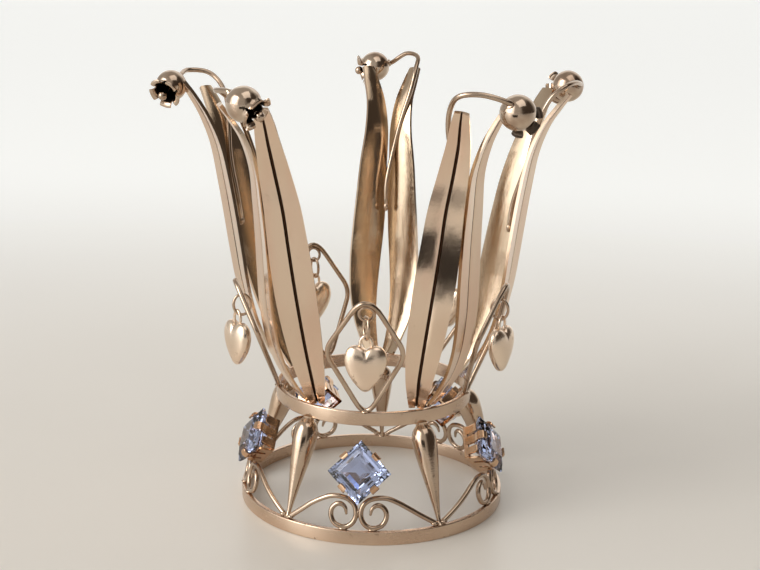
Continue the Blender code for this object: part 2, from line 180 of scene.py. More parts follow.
def band(radius, wall, height, z):
    """Strip with rounded edges, bent round the crown's axis."""
    bm = bmesh.new()
    bmesh.ops.create_grid(bm, x_segments=1, y_segments=1, size=0.5)
    middle = Matrix.Translation((radius - wall / 2, 0, z + height / 2))
    upright = middle @ Matrix.Rotation(math.pi / 2, 4, "X") @ Matrix.Diagonal((wall, height, 1, 1))
    bmesh.ops.transform(bm, matrix=upright, verts=bm.verts[:])
    bmesh.ops.bevel(bm, geom=bm.verts[:], offset=STRIP_EDGE, segments=4, profile=0.5, affect="VERTICES",
                    material=-1)
    bmesh.ops.delete(bm, geom=bm.faces[:], context="FACES_ONLY")
    spin_round(bm, steps=180)
    return bm


ring_gilt = gilt("ring gilt", RING_TONE, RING_ROSY, rough=0.25, brush=0.14, dents=0.22,
                 stretch=(1.0, 1.0, 12.0))
put("base_band", band(RING_R, RING_WALL, RING_H, 0.0), ring_gilt, ["base_ring"])

# Upper ring: the same kind of strip in a smaller size, held up by the struts. It carries the
# leaves and the lozenges on its upper edge.
UPPER_R, UPPER_WALL, UPPER_H, UPPER_Z = 24.1, 1.1, 3.35, 26.0
upper = band(UPPER_R, UPPER_WALL, UPPER_H, UPPER_Z)
put("upper_band", upper, ring_gilt, ["upper_ring"])

# Struts: five polished drops of silver, thick above and drawn out to a thin foot, lathe turned or
# cast. Each leans in from the base ring to the underside of the upper ring, soldered at both ends.
STRUT_BOTTOM = ((0.0, -0.08), (0.95, -0.08))
STRUT_SHAPE = ((0.72, 0.25), (0.54, 0.8), (0.52, 1.6), (0.76, 3.6), (1.32, 7.4), (2.02, 11.6),
               (2.63, 15.6), (2.9, 18.4), (2.8, 20.4), (2.3, 21.9), (1.56, 22.75), (1.33, 23.1))
STRUT_END = ((1.5, 23.45), (0.0, 23.5))
FOOT_AT, TOP_AT = (31.9, 0, RING_H), (23.45, 0, UPPER_Z)
FOOT_AZ, TOP_AZ = (35.0, 108.0, 180.0, 252.0, 326.7), (33.6, 108.0, 180.0, 252.0, 324.8)
STRUT_TONE, STRUT_ROSY = (0.68, 0.53, 0.40), (0.52, 0.375, 0.27)


def spline(points, count):
    """Smooth curve of count points through the given ones."""
    pts = [Vector(p) for p in points]
    pts = [pts[0] * 2 - pts[1]] + pts + [pts[-1] * 2 - pts[-2]]
    spans, out = len(pts) - 3, []
    for i in range(count):
        k = min(int(i * spans / (count - 1)), spans - 1)
        t = i * spans / (count - 1) - k
        a, b, c, d = pts[k:k + 4]
        square, cube = 2 * a - 5 * b + 4 * c - d, 3 * b - a - 3 * c + d
        out.append(0.5 * (2 * b + (c - a) * t + square * t * t + cube * t ** 3))
    return out


def turned(profile, steps):
    """Surface spun from radius and height pairs."""
    bm = bmesh.new()
    row = [bm.verts.new((r, 0, z)) for r, z in profile]
    for pair in zip(row, row[1:]):
        bm.edges.new(pair)
    spin_round(bm, steps)
    return bm


def aimed(origin, direction, up=Vector((0, 0, 1))):
    """Matrix that lays the z axis along a direction, with x as near to up as it goes."""
    z = Vector(direction).normalized()
    x = (up - z * up.dot(z)).normalized()
    return Matrix.Translation(origin) @ Matrix((x, z.cross(x), z)).transposed().to_4x4()


strut_gilt = gilt("strut gilt", STRUT_TONE, STRUT_ROSY, rough=0.14, brush=0.04, dents=0.16)
shape = [(p.x, p.z) for p in spline([(r, 0, z) for r, z in STRUT_SHAPE], 40)]
shape = [*STRUT_BOTTOM, *shape, *STRUT_END]
for k in range(5):
    foot, top = polar(FOOT_AZ[k], *FOOT_AT), polar(TOP_AZ[k], *TOP_AT)
    reach = (top - foot).length / shape[-1][1]
    bm = turned(shape, 48)
    place = aimed(foot, top - foot) @ Matrix.Diagonal((1, 1, reach, 1))
    bmesh.ops.transform(bm, matrix=place, verts=bm.verts[:])
    put("drop_strut_%d" % (k + 1), bm, strut_gilt, ["strut_%d" % (k + 1)])

# Scroll pairs: round wire of 1.2 mm, coiled by hand into two facing scrolls. The coils touch in the
# middle of the bay and rest on the base ring, and the legs run out to the feet of the struts. All
# of it is soldered. A scroll's points are how far round the bay it is, in degrees, and its height.
SCROLL = ((33.4, 4.0), (30.0, 5.2), (26.0, 6.6), (21.5, 8.2), (17.1, 9.6), (12.8, 10.6), (8.9, 10.8),
          (5.0, 10.4), (2.3, 9.3), (1.15, 7.9), (1.2, 6.3), (2.5, 4.9), (4.8, 4.05), (7.7, 4.0),
          (10.4, 4.7), (11.9, 6.2), (11.7, 7.8), (9.9, 8.9), (7.7, 9.1), (5.8, 8.3), (5.2, 7.0))
LEG_RIGHT, LEG_LEFT = (33.4, 33.4, 33.4, 33.4, 36.0), (31.0, 35.3, 33.4, 33.4, 33.4)
LEG_END, LEG_START = SCROLL[0][0], 21.5
BAY_AZ = (-0.7, 72.6, 144.0, 216.0, 288.0)
WALL_R, WALL_TAPER = 31.8, 0.2
WIRE_R = 0.61
LEG_SOLDER_Z, COIL_SOLDER, MIDDLE_SOLDER_Z = 3.9, (6.2, 3.6), 7.1
SOLDER_R, SEAM_R, TIP_R = 0.62, 0.5, 0.3
START_POINTS, END_POINTS, DRAWN_OUT = 3.0, 12.0, 0.45
WIRE_TONE, WIRE_ROSY = (0.60, 0.47, 0.36), (0.44, 0.32, 0.23)


def wire(path, radius, closed=False, tips=(1.0, 1.0)):
    """Round wire along a path; the tips give the share of its thickness left at both ends."""
    curve = bpy.data.curves.new("wire", "CURVE")
    curve.dimensions, curve.use_fill_caps = "3D", True
    curve.bevel_depth, curve.bevel_resolution = radius, 4
    run = curve.splines.new("POLY")
    last = len(path) - 1
    run.points.add(last)
    run.use_cyclic_u = closed
    for i, (point, at) in enumerate(zip(run.points, path)):
        point.co = (*at, 1.0)
        start = tips[0] + (1 - tips[0]) * min(i / START_POINTS, 1.0)
        point.radius = start * (tips[1] + (1 - tips[1]) * min((last - i) / END_POINTS, 1.0) ** 0.7)
    rod = bpy.data.objects.new("wire", curve)
    mesh = bpy.data.meshes.new_from_object(rod)
    bm = bmesh.new()
    bm.from_mesh(mesh)
    bmesh.ops.remove_doubles(bm, verts=bm.verts[:], dist=0.0005)
    bmesh.ops.recalc_face_normals(bm, faces=bm.faces[:])
    bpy.data.objects.remove(rod)
    bpy.data.curves.remove(curve)
    bpy.data.meshes.remove(mesh)
    return bm


def add(bm, other):
    """Moves a second bmesh into the first."""
    mesh = bpy.data.meshes.new("part")
    other.to_mesh(mesh)
    other.free()
    bm.from_mesh(mesh)
    bpy.data.meshes.remove(mesh)


def solder(bm, place, size, squash=(1.0, 1.0, 1.0)):
    """A small run of solder, stretched or squashed along x, y and z."""
    bead = bmesh.new()
    bmesh.ops.create_uvsphere(bead, u_segments=14, v_segments=8, radius=size)
    place = Matrix.Translation(place) @ Matrix.Diagonal((*squash, 1))
    bmesh.ops.transform(bead, matrix=place, verts=bead.verts[:])
    add(bm, bead)


def on_wall(az, x, z):
    """Point of a bay's wall, which tapers in from the base ring."""
    return polar(az + x, WALL_R - WALL_TAPER * (z - RING_H), 0, z)


wire_gilt = gilt("wire gilt", WIRE_TONE, WIRE_ROSY, rough=0.15, brush=0.05, dents=0.25)
scroll = spline([(x, z, 0) for x, z in SCROLL], 110)
for k, az in enumerate(BAY_AZ):
    bm = bmesh.new()
    for side, leg in ((1, LEG_RIGHT[k]), (-1, LEG_LEFT[k])):
        path = []
        for p in scroll:
            on_leg = max(0.0, (p.x - LEG_START) / (LEG_END - LEG_START))
            path.append(on_wall(az, side * (p.x + (leg - LEG_END) * on_leg), p.y))
        add(bm, wire(path, WIRE_R, tips=(1.0, DRAWN_OUT)))
        solder(bm, on_wall(az, side * leg, LEG_SOLDER_Z), SOLDER_R, (1.5, 1.5, 0.8))
        solder(bm, on_wall(az, side * COIL_SOLDER[0], COIL_SOLDER[1]), SOLDER_R, (1.9, 1.2, 0.6))
        solder(bm, path[-1], TIP_R)
    solder(bm, on_wall(az, 0, MIDDLE_SOLDER_Z), SEAM_R, (0.9, 0.9, 1.9))
    put("scroll_wires_%d" % (k + 1), bm, wire_gilt, ["scrolls_%d" % (k + 1)])

# Settings: deep square boxes sawn from sheet, with a rail behind and three posts on each side. The
# middle post is left long and bent over the stone's edge as a claw. Warm gilt, brightly cut. A
# path's points are how far out from the box's middle, how high, and the share of the full section.
STONE_OUT, STONE_Z, STONE_LEAN, STONE_HALF = 30.6, 17.1, 24.8, 5.2
STONE_AZ = (-0.7, 74.6, 144.0, 216.0, 288.4)
SIDE_POST_AT = 2.75
POST_EDGE = 0.07
CLAW = ((4.0, -4.7, 1.0), (4.35, -3.2, 1.0), (4.75, -1.5, 1.0), (5.35, -0.6, 1.0), (5.62, 0.1, 1.0),
        (5.45, 0.75, 0.96), (4.95, 1.15, 0.9), (4.5, 1.25, 0.75))
SIDE_POST = ((4.0, -4.7, 1.0), (4.35, -3.2, 1.0), (4.6, -1.9, 1.0), (4.72, -1.25, 0.8))
RAIL = ((3.85, -5.0, 1.0), (3.95, -4.0, 1.0))
CLAW_SECTION, SIDE_POST_SECTION, RAIL_SECTION = (2.1, 0.62), (1.9, 0.6), (8.2, 0.9)
SECTION_CORNERS = ((-1, -1), (1, -1), (1, 1), (-1, 1))
SETTING_TONE, SETTING_ROSY = (0.74, 0.51, 0.335), (0.68, 0.43, 0.27)


def stone_place(az):
    """Matrix of a stone: x and y along its square sides, z outward."""
    lean = math.radians(STONE_LEAN)
    out = polar(az, 1, 0, 0) * math.cos(lean) + Vector((0, 0, math.sin(lean)))
    return aimed(polar(az, STONE_OUT, 0, STONE_Z), out) @ Matrix.Rotation(math.pi / 4, 4, "Z")


def post(section, path, shift=0.0):
    """Strip of a width and thickness up a path, on the box's side towards x and shifted along it."""
    width, thick = section
    bm = bmesh.new()
    bmesh.ops.create_grid(bm, x_segments=1, y_segments=1, size=0.5)
    end = bm.faces[:]
    for i, (x, z, share) in enumerate(path):
        if i:
            end = bmesh.ops.extrude_discrete_faces(bm, faces=end)["faces"]
        before, after = path[max(i - 1, 0)], path[min(i + 1, len(path) - 1)]
        run = Vector((after[0] - before[0], 0, after[1] - before[1])).normalized()
        across = Vector((run.z, 0, -run.x)) * (thick * share / 2)
        along = Vector((0, width * share / 2, 0))
        for v, (side, way) in zip(end[0].verts, SECTION_CORNERS):
            v.co = Vector((x, shift, z)) + across * side + along * way
    bmesh.ops.recalc_face_normals(bm, faces=bm.faces[:])
    bmesh.ops.bevel(bm, geom=bm.edges[:], offset=POST_EDGE, segments=1, profile=0.5, affect="EDGES",
                    material=-1)
    return bm


setting_gilt = gilt("setting gilt", SETTING_TONE, SETTING_ROSY, rough=0.13, brush=0.08)
for k, az in enumerate(STONE_AZ):
    bm = bmesh.new()
    for turn in range(4):
        side = post(CLAW_SECTION, CLAW)
        for shift in (-SIDE_POST_AT, SIDE_POST_AT):
            add(side, post(SIDE_POST_SECTION, SIDE_POST, shift))
        add(side, post(RAIL_SECTION, RAIL))
        quarter = Matrix.Rotation(turn * math.pi / 2, 3, "Z")
        bmesh.ops.rotate(side, cent=(0, 0, 0), matrix=quarter, verts=side.verts[:])
        add(bm, side)
    bmesh.ops.transform(bm, matrix=stone_place(az), verts=bm.verts[:])
    put("claw_box_%d" % (k + 1), bm, setting_gilt, ["setting_%d" % (k + 1)], angle=25)

# Stones: square step-cut stones of clear pale lavender blue, 10.4 mm a side, each set on its corner
# in the claws. In front a broad table and two rows of steps, with narrow bevels where the rows
# meet, behind four rows down to the keel. A step is a share of half the side, and its height.
STEPS = ((0.54, 1.6), (0.585, 1.42), (0.78, 1.0), (0.825, 0.74), (0.98, 0.28), (1.0, 0.2),
         (1.0, -0.25), (0.86, -1.2), (0.64, -2.3), (0.38, -3.2), (0.12, -3.65))
STONE_BLUE, STONE_LAVENDER = (0.51, 0.62, 0.98), (0.58, 0.67, 0.99)


def step_cut():
    """Square facets from the table back to the keel."""
    bm = bmesh.new()
    bmesh.ops.create_grid(bm, x_segments=1, y_segments=1, size=STONE_HALF * STEPS[0][0])
    bmesh.ops.translate(bm, vec=(0, 0, STEPS[0][1]), verts=bm.verts[:])
    edges = bm.edges[:]
    for (was, _), (share, z) in zip(STEPS, STEPS[1:]):
        grown = bmesh.ops.extrude_edge_only(bm, edges=edges)["geom"]
        edges = [g for g in grown if isinstance(g, bmesh.types.BMEdge)]
        for v in (g for g in grown if isinstance(g, bmesh.types.BMVert)):
            v.co = Vector((v.co.x * share / was, v.co.y * share / was, z))
    bmesh.ops.holes_fill(bm, edges=[e for e in bm.edges if e.is_boundary], sides=4)
    bmesh.ops.recalc_face_normals(bm, faces=bm.faces[:])
    return bm


stone_mat, shader, spot = start_material("pale blue stone", IOR=1.7, Transmission_Weight=1.0,
                                         Specular_IOR_Level=0.7)
tint = spot.noise(120.0, 1.0).between(0.3, 0.7).blend(STONE_BLUE, STONE_LAVENDER)
feed(shader, "Base Color", tint)
feed(shader, "Roughness", 0.012 + spot.noise(500.0) * 0.02)
for k, az in enumerate(STONE_AZ):
    bm = step_cut()
    bmesh.ops.transform(bm, matrix=stone_place(az), verts=bm.verts[:])
    put("blue_stone_%d" % (k + 1), bm, stone_mat, ["stone_%d" % (k + 1)], angle=2)

# Leaves: ten tall leaves of 0.8 mm sheet in five pairs, folded to a shallow vee with a groove chased
# down the fold, painted near black as shade. Brushed outside, bright and smoothly hollow inside, where
# a darker tone is painted shade. A sharp bend at the foot leads to the upper ring, where they are soldered.
LEAF_Z = (29.4, 32.6, 37.9, 44.6, 52.8, 61.0, 69.3, 77.6, 85.8, 92.4, 97.2, 100.3)
LEAF_OUT = (22.9, 25.2, 28.1, 30.7, 32.7, 34.1, 35.4, 36.8, 38.7, 41.2, 43.9, 46.0)
LEAF_SIDE = (2.2, 3.4, 4.8, 5.5, 5.4, 4.85, 4.35, 4.0, 3.45, 3.95, 5.4, 6.5)
LEAF_WIDE = (3.4, 4.66, 6.33, 7.83, 8.91, 9.26, 8.9, 8.1, 6.85, 5.45, 4.3, 3.2)
LEAF_TURN = (30.0, 39.0)
SHEET = 0.8
PAIR_Z = 29.7
PAIR_AZ = (36.0, 111.8, 180.8, 253.4, 324.6)
PAIR_LEAN = (-0.078, 0.004, 0.021, 0.048, -0.013)
PAIR_SIDE = (0.029, -0.007, 0.0, 0.023, -0.013)
PAIR_TWIST = (-6.4, -6.2, 0.0, 12.5, 5.1)
TIP_IN, TIP_IN_Z, TIP_IN_RUN = (1.3, 0.0, 0.0, 0.8, 0.0), 92.0, 8.0
TIP_UP = {(2, -1): 2.2, (2, 1): 2.2, (3, -1): -1.4, (3, 1): 0.8}
TIP_UP_Z, TIP_UP_RUN = 60.0, 40.0
VEE, GROOVE, GROOVE_HALF = 0.28, 0.5, 0.38
GROOVE_SHARE, GROOVE_WALL = 0.13, 0.06
HALF_ACROSS = (0.0, 0.045, 0.09, GROOVE_SHARE, 0.22, 0.4, 0.6, 0.8, 0.93, 1.0)
ACROSS = [-share for share in HALF_ACROSS[:0:-1]] + [*HALF_ACROSS]
ROWS, FOOT_ROWS, ROW_STEP = 110, 8, 0.65
FLAT_LEAF, FLAT_Z, FLAT_DROP = (0, -1), 68.8, 4.4
FLAT_REACH, FLAT_DEPTH = (16.0, 10.0), (0.24, 0.3)
LEAF_TONE, LEAF_ROSY, LEAF_SPECK = (0.87, 0.685, 0.525), (0.85, 0.625, 0.475), (0.5, 0.36, 0.25)
# The darker tone of the inner faces and the near black of the groove are painted shade.
INNER_SHADE_TONE, INNER_SHADE_ROSY = (0.72, 0.575, 0.42), (0.60, 0.455, 0.32)
GROOVE_SHADE = (0.07, 0.035, 0.02)


def clamp(x):
    """The number, kept between 0 and 1."""
    return min(1.0, max(0.0, x))


def pair_point(k, out, side, z):
    """Point of a leaf pair, with the lean of this pair."""
    rise = z - PAIR_Z
    return polar(PAIR_AZ[k], out + PAIR_LEAN[k] * rise, side + PAIR_SIDE[k] * rise, z)


def leaf_line(k, sign):
    """Points up the middle of a leaf's outer face, each with the leaf's width as fourth number."""
    spine = []
    for z, out, side, wide in zip(LEAF_Z, LEAF_OUT, LEAF_SIDE, LEAF_WIDE):
        if sign > 0:
            out -= TIP_IN[k] * max(0.0, (z - TIP_IN_Z) / TIP_IN_RUN)
        p = pair_point(k, out, side * sign, z)
        p.z += TIP_UP.get((k, sign), 0.0) * max(0.0, (z - TIP_UP_Z) / TIP_UP_RUN) ** 2
        spine.append(Vector((*p, wide)))
    foot = [spine[0].lerp(spine[1], i / FOOT_ROWS) for i in range(FOOT_ROWS)]
    return foot + spline(spine[1:], ROWS + 1 - FOOT_ROWS)


def leaf_frames(k, sign):
    """For each row of a leaf: its middle, the way across, the way it faces and half its width."""
    line, frames = leaf_line(k, sign), []
    for i, q in enumerate(line):
        before = line[i if i == FOOT_ROWS else max(i - 1, 0)]
        run = Vector((line[min(i + 1, ROWS)] - before)[:3]).normalized()
        share = (q.z - LEAF_Z[0]) / (LEAF_Z[-1] - LEAF_Z[0])
        turn = (LEAF_TURN[0] + (LEAF_TURN[1] - LEAF_TURN[0]) * share) * sign + PAIR_TWIST[k]
        across = polar(PAIR_AZ[k] + turn, 0, 1, 0)
        across = (across - run * across.dot(run)).normalized()
        face = across.cross(run)
        face = face if face.dot(polar(PAIR_AZ[k], 1, 0, 0)) > 0 else -face
        frames.append((Vector(q[:3]), across, face, q.w / 2))
    return frames


def flattening(z, share):
    """Depth of the front right leaf's dent: in above, out below, deeper and longer right of its groove."""
    right = clamp(0.5 + 2.5 * share)
    x = (z - FLAT_Z + FLAT_DROP * right) / (FLAT_REACH[0] + FLAT_REACH[1] * right)
    if abs(x) >= 1.0:
        return 0.0
    depth = FLAT_DEPTH[0] + FLAT_DEPTH[1] * right
    return depth * math.sin(math.pi * x) * (1 + math.cos(math.pi * x)) / 2


def leaf_sheet(k, sign):
    """Outer face of a leaf, from a grid laid along its rows, with the vee and the groove in it."""
    frames = leaf_frames(k, sign)
    bm = bmesh.new()
    bmesh.ops.create_grid(bm, x_segments=len(ACROSS) - 1, y_segments=ROWS, size=0.5)
    groove = bm.verts.layers.float.new("groove")
    along = bm.verts.layers.float_vector.new("along")
    to_inner = bm.verts.layers.float_vector.new("to_inner")
    for v in bm.verts:
        row, column = round((v.co.y + 0.5) * ROWS), round((v.co.x + 0.5) * (len(ACROSS) - 1))
        middle, across, face, half = frames[row]
        share = ACROSS[column]
        depth, inner_depth = VEE * (1 - abs(share)), VEE * (1 - share ** 2)
        if abs(share) <= GROOVE_SHARE:
            depth = VEE + GROOVE * min(1.0, (GROOVE_SHARE - abs(share)) / GROOVE_WALL)
            v[groove] = 1.0 if abs(share) < GROOVE_SHARE else 0.0
            share *= min(1.0, GROOVE_HALF / (GROOVE_SHARE * half))
        # The third number keeps the patterns of the leaves apart.
        v[along] = (share * half, row * ROW_STEP, sign * 5.0 + k * 20.0)
        v[to_inner] = face * (depth - inner_depth - SHEET)
        v.co = middle + across * (share * half) - face * depth
        if (k, sign) == FLAT_LEAF:
            v.co -= face * flattening(v.co.z, share)
    return bm


def thicken(bm, thickness, outward):
    """Turns a sheet's faces outward, gives it its wall and marks the inner face's points as inside."""
    bm.normal_update()
    if sum(f.normal.dot(outward(f)) * f.calc_area() for f in bm.faces) < 0:
        bmesh.ops.reverse_faces(bm, faces=bm.faces[:])
    outer = [v.co.copy() for v in bm.verts]
    mesh = bpy.data.meshes.new("sheet")
    bm.to_mesh(mesh)
    bm.free()
    sheet = bpy.data.objects.new("sheet", mesh)
    bpy.context.scene.collection.objects.link(sheet)
    wall = sheet.modifiers.new("wall", "SOLIDIFY")
    wall.thickness, wall.offset, wall.use_even_offset = thickness, -1.0, False
    bpy.context.view_layer.update()
    solid = bpy.data.meshes.new_from_object(sheet.evaluated_get(bpy.context.evaluated_depsgraph_get()))
    bpy.data.objects.remove(sheet)
    bpy.data.meshes.remove(mesh)
    walled = bmesh.new()
    walled.from_mesh(solid)
    bpy.data.meshes.remove(solid)
    inside = walled.verts.layers.float.new("inside")
    to_inner = walled.verts.layers.float_vector.get("to_inner")
    for v in walled.verts:
        start = outer[v.index % len(outer)]
        v[inside] = 1.0 if (v.co - start).length > thickness / 2 else 0.0
        if to_inner and v[inside]:
            v.co = start + v[to_inner]
    return walled


def leaf_gilt():
    """Satin outside with marks along the leaf, near mirror inside; groove and darker inside are painted
    shade.
    """
    mat, shader, spot = start_material("leaf gilt", Metallic=1.0)
    inside = spot.node("Attribute", out=2, attribute_name="inside")
    groove = spot.node("Attribute", out=2, attribute_name="groove") * (1.0 - inside)
    along = spot.node("Attribute", out=1, attribute_name="along")
    marks = along.stretched(3.0, 0.12, 1.0).noise(6.0, 4.0, 0.65)
    cloud = along.stretched(1.0, 0.35, 1.0).noise(0.16, 3.0)
    wave = along.stretched(0.6, 0.25, 1.0).noise(0.5)
    speck = spot.noise(1100.0)
    outer = cloud.between(0.36, 0.66).blend(LEAF_TONE, LEAF_ROSY)
    outer = (speck.between(0.66, 0.8) * 0.3).blend(outer, LEAF_SPECK)
    # Painted shade: the inner faces take a darker tone, and the groove turns near black.
    inner = cloud.between(0.3, 0.7).blend(INNER_SHADE_TONE, INNER_SHADE_ROSY)
    colour = groove.between(0.3, 0.8).blend(inside.blend(outer, inner), GROOVE_SHADE)
    feed(shader, "Base Color", colour)
    satin = 0.12 + (marks - 0.5) * 0.10 + (cloud - 0.5) * 0.06
    bright = 0.07 + (marks - 0.5) * 0.04 + cloud * 0.04
    feed(shader, "Roughness", satin * (1.0 - inside) + bright * inside + groove * 0.25)
    fine = (marks + speck * 0.5).relief(0.1, 0.0001)
    feed(shader, "Normal", wave.relief(0.12, 0.0006, over=fine))
    return mat


leaf_mat = leaf_gilt()
for k in range(5):
    for sign, letter in ((-1, "a"), (1, "b")):
        bm = thicken(leaf_sheet(k, sign), SHEET, lambda f: polar(PAIR_AZ[k], 1, 0, 0))
        name = "%d%s" % (k + 1, letter)
        put("leaf_blade_" + name, bm, leaf_mat, ["leaf_" + name], angle=50)

# Bells: hollow bell flowers of thin sheet, round like a lily of the valley, with five blunt petals
# rolled outward. Bright gilt outside, painted shade inside, with a small collar where the stem enters.
# A petal's outline is its height from the bell's middle to the mouth, and its radius.
BELL_MIDDLE = (50.0, 5.2, 101.4)
BELL_OUT = (0.0, 0.5, 0.15, -1.3, -0.36)
BELL_UP = (-0.8, 0.0, 1.2, -1.2, 0.5)
BELL_SIDE = (0.05, 0.0, -0.3, 0.2, 0.1)
BELL_FACE = (112.0, 104.0, 104.0, 87.0, 102.0)
BELL_DIP = (31.0, 11.0, 14.0, 29.0, 30.0)
BELL_ROLL = (50.0, 48.0, 46.0, 24.0, 39.0)
BELL_R, BELL_WALL = (3.93, 3.93, 3.98, 3.8, 3.85), 0.3
BODY_FROM, BODY_SWEEP = 9.0, 117.0
PETAL = ((2.28, 3.16), (2.72, 3.02), (3.15, 3.1), (3.5, 3.36), (3.64, 3.62), (3.64, 3.82), (3.53, 3.92))
PETAL_BELL_R, PETAL_ANGLE, PETAL_COLUMNS, PETAL_POINTS = 3.85, 72.0, 24, 40
BODY_ROWS, PETAL_ROWS = 22, 16
PETAL_ROUND, PETAL_WAIST = 0.2, 0.17
# The near black inside the bells is painted shade, fading out towards the mouth.
INSIDE_SHADE_END, FADE = 3.1, 0.5
# The first bell's petals are darkened too, as painted shade.
SHADED_PETALS, SHADED_PETALS_FROM, PETAL_SHADE_SHARE = 0, 2.5, 0.85
COLLAR = ((0.6, -0.4), (0.9, -0.35), (1.0, -0.1), (0.95, 0.15), (0.6, 0.25), (0.6, -0.4))
BRIGHT_TONE, BRIGHT_ROSY, INSIDE_SHADE = (0.64, 0.51, 0.395), (0.47, 0.34, 0.25), (0.03, 0.022, 0.018)


def bell_place(k):
    """Matrix of a bell: z out of its mouth, turned so that x points to its first petal."""
    out, side, z = BELL_MIDDLE
    middle = pair_point(k, out + BELL_OUT[k], side + BELL_SIDE[k], z + BELL_UP[k])
    dip = math.radians(BELL_DIP[k])
    face = polar(PAIR_AZ[k] + BELL_FACE[k], math.cos(dip), 0, -math.sin(dip))
    return aimed(middle, face) @ Matrix.Rotation(math.radians(BELL_ROLL[k]), 4, "Z")


def bell_shell(radius):
    """Round body and five tongue petals, from a grid wrapped about the z axis with gaps cut in it."""
    columns, rows = 5 * PETAL_COLUMNS, BODY_ROWS + PETAL_ROWS
    bm = bmesh.new()
    bmesh.ops.create_grid(bm, x_segments=columns, y_segments=rows, size=0.5)
    gaps = []
    for f in bm.faces:
        middle = f.calc_center_median()
        column, row = (middle.x + 0.5) * columns, (middle.y + 0.5) * rows
        if row > BODY_ROWS and abs(column % PETAL_COLUMNS - PETAL_COLUMNS / 2) < 1:
            gaps.append(f)
    bmesh.ops.delete(bm, geom=gaps, context="FACES")
    line = spline([(z, r, 0) for z, r in PETAL], PETAL_POINTS + 1)
    for v in bm.verts:
        column, row = round((v.co.x + 0.5) * columns), round((v.co.y + 0.5) * rows)
        angle = column * PETAL_ANGLE / PETAL_COLUMNS
        if row <= BODY_ROWS:
            a = math.radians(BODY_FROM + row / BODY_ROWS * BODY_SWEEP)
            z, r = -radius * math.cos(a), radius * math.sin(a)
        else:
            centre = PETAL_ANGLE * round((column - 0.01) / PETAL_COLUMNS)
            off = (angle - centre) / (PETAL_ANGLE / 2)
            share = (row - BODY_ROWS) / PETAL_ROWS * (1.0 - PETAL_ROUND * abs(off) ** 4)
            z, r, _ = line[round(PETAL_POINTS * share)]
            z += (radius - PETAL_BELL_R) * 0.5
            narrow = (1.0 - PETAL_WAIST * min(1.0, share * 4.0) ** 0.7) * (PETAL[0][1] / r) ** 0.9
            angle = centre + (angle - centre) * narrow
        v.co = (r * math.cos(math.radians(angle)), r * math.sin(math.radians(angle)), z)
    bmesh.ops.remove_doubles(bm, verts=bm.verts[:], dist=0.002)
    return bm


def bell_gilt():
    """Bright gilt outside, near black inside as painted shade."""
    mat, shader, spot = start_material("bell gilt", Metallic=1.0)
    inside = spot.node("Attribute", out=2, attribute_name="inside")
    cloud, speck = spot.noise(260.0, 3.0), spot.noise(1500.0)
    outer = cloud.between(0.35, 0.7).blend(BRIGHT_TONE, BRIGHT_ROSY)
    # Painted shade: near black inside the bell.
    feed(shader, "Base Color", inside.blend(outer, INSIDE_SHADE))
    feed(shader, "Roughness", 0.13 + (cloud - 0.5) * 0.1 + (speck - 0.5) * 0.05 + inside * 0.4)
    feed(shader, "Normal", (cloud + speck * 0.2).relief(0.3, 0.0003))
    return mat


bell_mat = bell_gilt()
for k in range(5):
    bm = thicken(bell_shell(BELL_R[k]), BELL_WALL, lambda f: f.calc_center_median())
    inside = bm.verts.layers.float["inside"]
    # The painted shade inside ends where the petals begin to curl; one bell's petals get painted shade too.
    for v in bm.verts:
        v[inside] *= clamp((INSIDE_SHADE_END - v.co.z) / FADE)
        # Painted shade on the petals of this one bell.
        if k == SHADED_PETALS:
            v[inside] = max(v[inside], PETAL_SHADE_SHARE * clamp((v.co.z - SHADED_PETALS_FROM) / FADE))
    add(bm, turned([(r, z - BELL_R[k]) for r, z in COLLAR], 32))
    bmesh.ops.transform(bm, matrix=bell_place(k), verts=bm.verts[:])
    put("bell_flower_%d" % (k + 1), bm, bell_mat, ["bell_%d" % (k + 1)], angle=45)

# Stems: round wire of 1.2 mm, soldered between the two leaves of a pair, hooked over their tips and
# run through the back of the bell. A small ball on its end is the flower's pistil.
STEM = ((34.3, 0.05, 66.8), (35.15, 0.05, 73.4), (37.2, -1.5, 82.0), (38.2, -3.3, 89.5),
        (39.4, -5.6, 96.4), (41.6, -6.7, 101.2), (45.2, -6.9, 103.9), (49.0, -3.7, 104.4))
HOOK_Z, HOOK_RUN = 88.0, 14.0
HOOK_OUT = (0.0, -0.7, 0.0, 0.0, 0.0)
HOOK_SIDE = (0.5, 0.0, 0.0, 0.0, 0.0)
HOOK_UP = (0.1, -1.3, 2.0, -1.1, -0.4)
PISTIL_Z, PISTIL_R, STEM_SOLDER_R = 4.5, 1.12, 0.7
for k in range(5):
    place = bell_place(k)
    path = []
    for out, side, z in STEM:
        hook = clamp((z - HOOK_Z) / HOOK_RUN)
        bend = (HOOK_OUT[k] * hook, HOOK_SIDE[k] * hook, HOOK_UP[k] * hook)
        path.append(pair_point(k, out + bend[0], side + bend[1], z + bend[2]))
    # From here the wire runs straight through the bell's back and middle to the pistil.
    for z in (-BELL_R[k] - 1.0, 0.5 - BELL_R[k], 0.0, PISTIL_Z - 0.7):
        path.append(place @ Vector((0, 0, z)))
    bm = wire(spline(path, 130), WIRE_R, tips=(0.6, 1.0))
    solder(bm, place @ Vector((0, 0, PISTIL_Z)), PISTIL_R)
    solder(bm, path[0], STEM_SOLDER_R, (1.0, 1.0, 1.6))
    put("hooked_stem_%d" % (k + 1), bm, wire_gilt, ["stem_%d" % (k + 1)])

